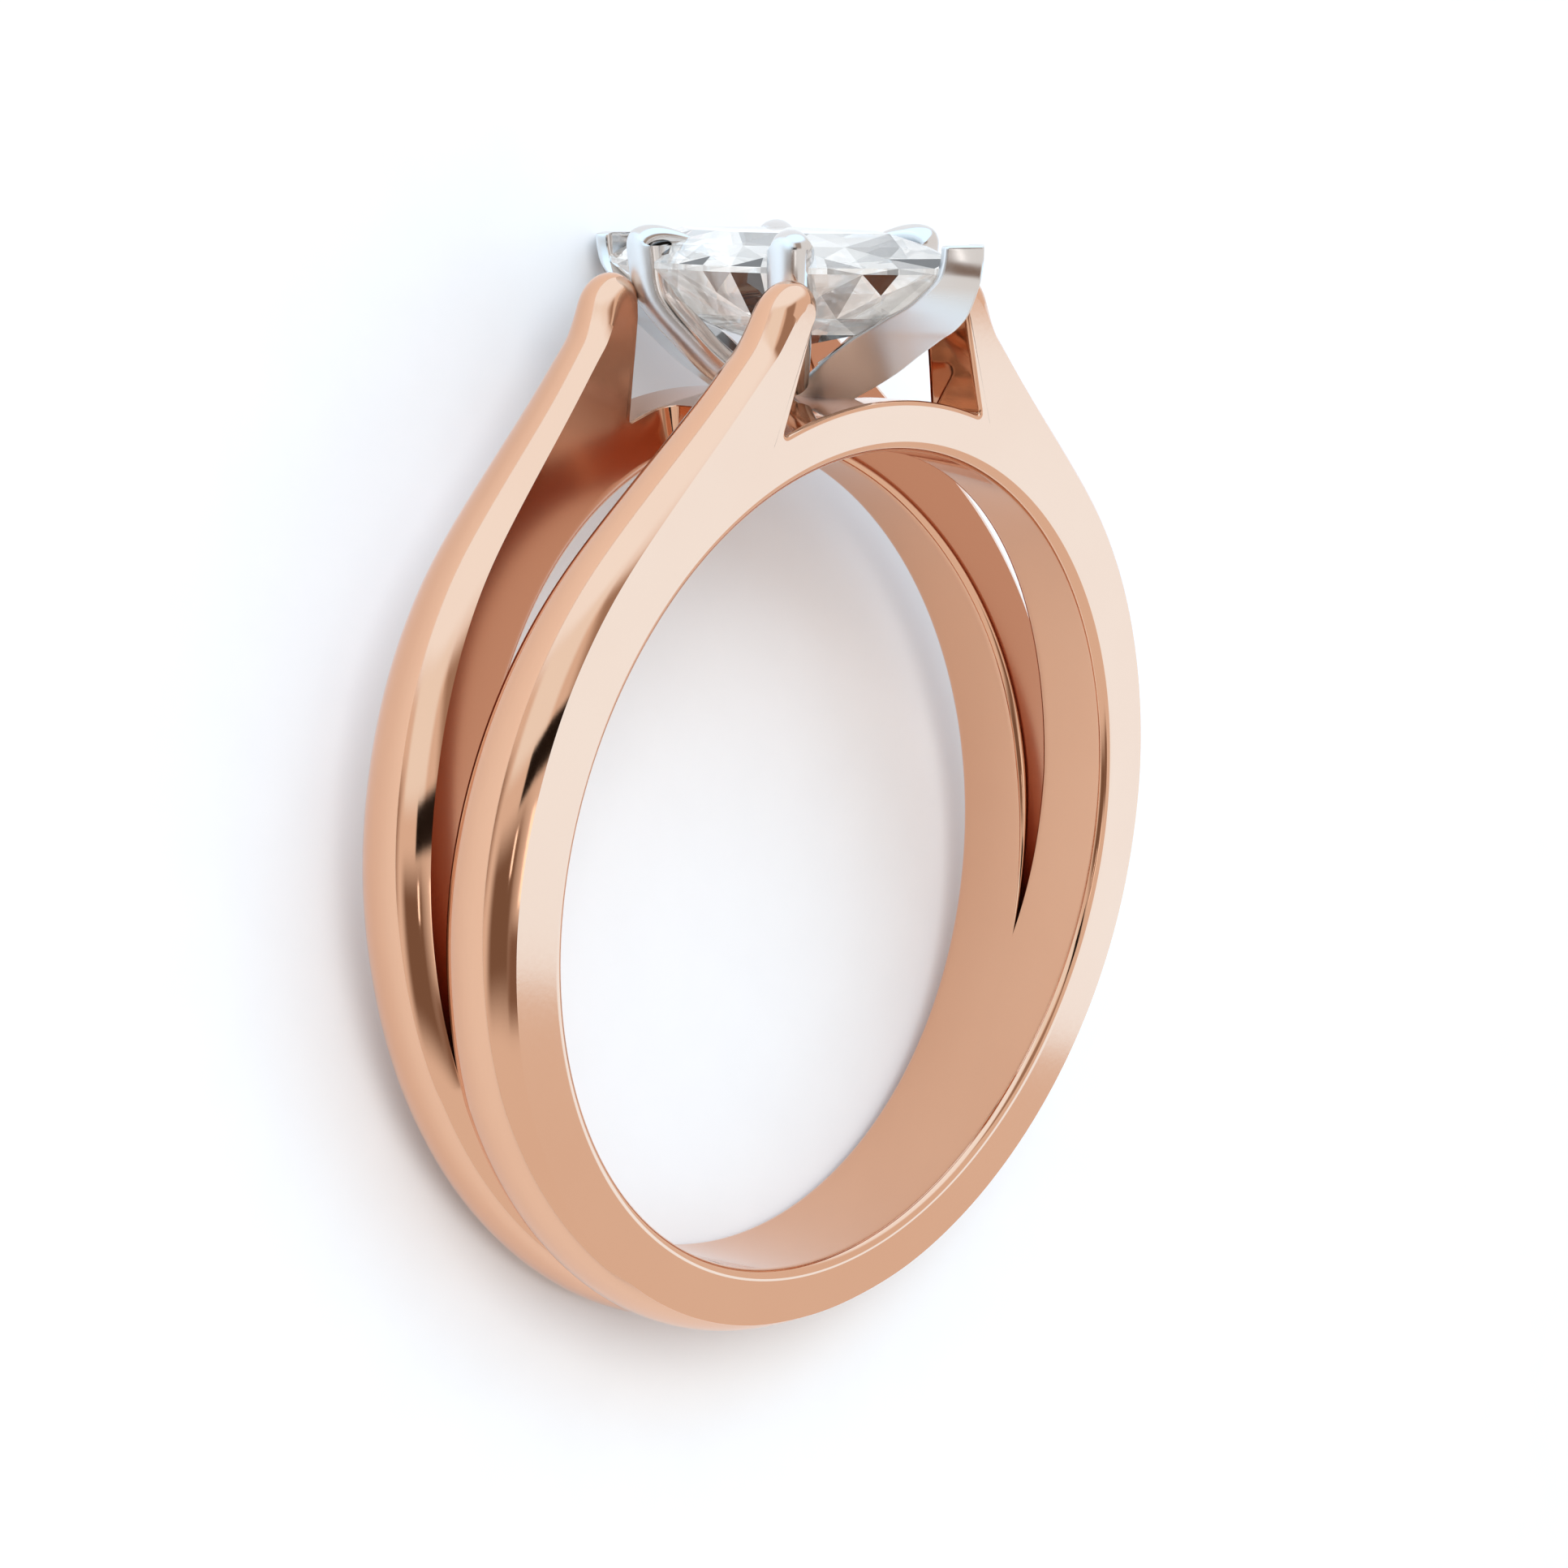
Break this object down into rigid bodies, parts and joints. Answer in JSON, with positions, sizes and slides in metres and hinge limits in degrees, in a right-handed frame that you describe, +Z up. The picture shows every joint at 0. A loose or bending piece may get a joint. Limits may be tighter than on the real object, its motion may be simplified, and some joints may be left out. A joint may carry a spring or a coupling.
{
  "type": "split shank ring",
  "caption": "Finger ring with a split shank of two domed ribs and a marquise stone held in a basket of claws and V prongs.",
  "frame": {"origin": "bottom centre of the bounding box: the plane Z = 0 is the floor the ring lies on", "axes": "the ring lies on its side: +Y from the foot of the band to the stone, +X across the ring, +Z up off the floor; the finger axis leans from Z by the rest tilt of about ten degrees"},
  "size_m": [0.021, 0.0236, 0.0103],
  "materials": {
    "rose_gold": "polished 14 karat rose gold",
    "white_metal": "polished white gold",
    "stone": "clear, faceted and polished"
  },
  "bodies": {
    "root": {"split_shank": "rose_gold", "prong_head": "white_metal", "marquise_stone": "stone"}
  },
  "joints": []
}
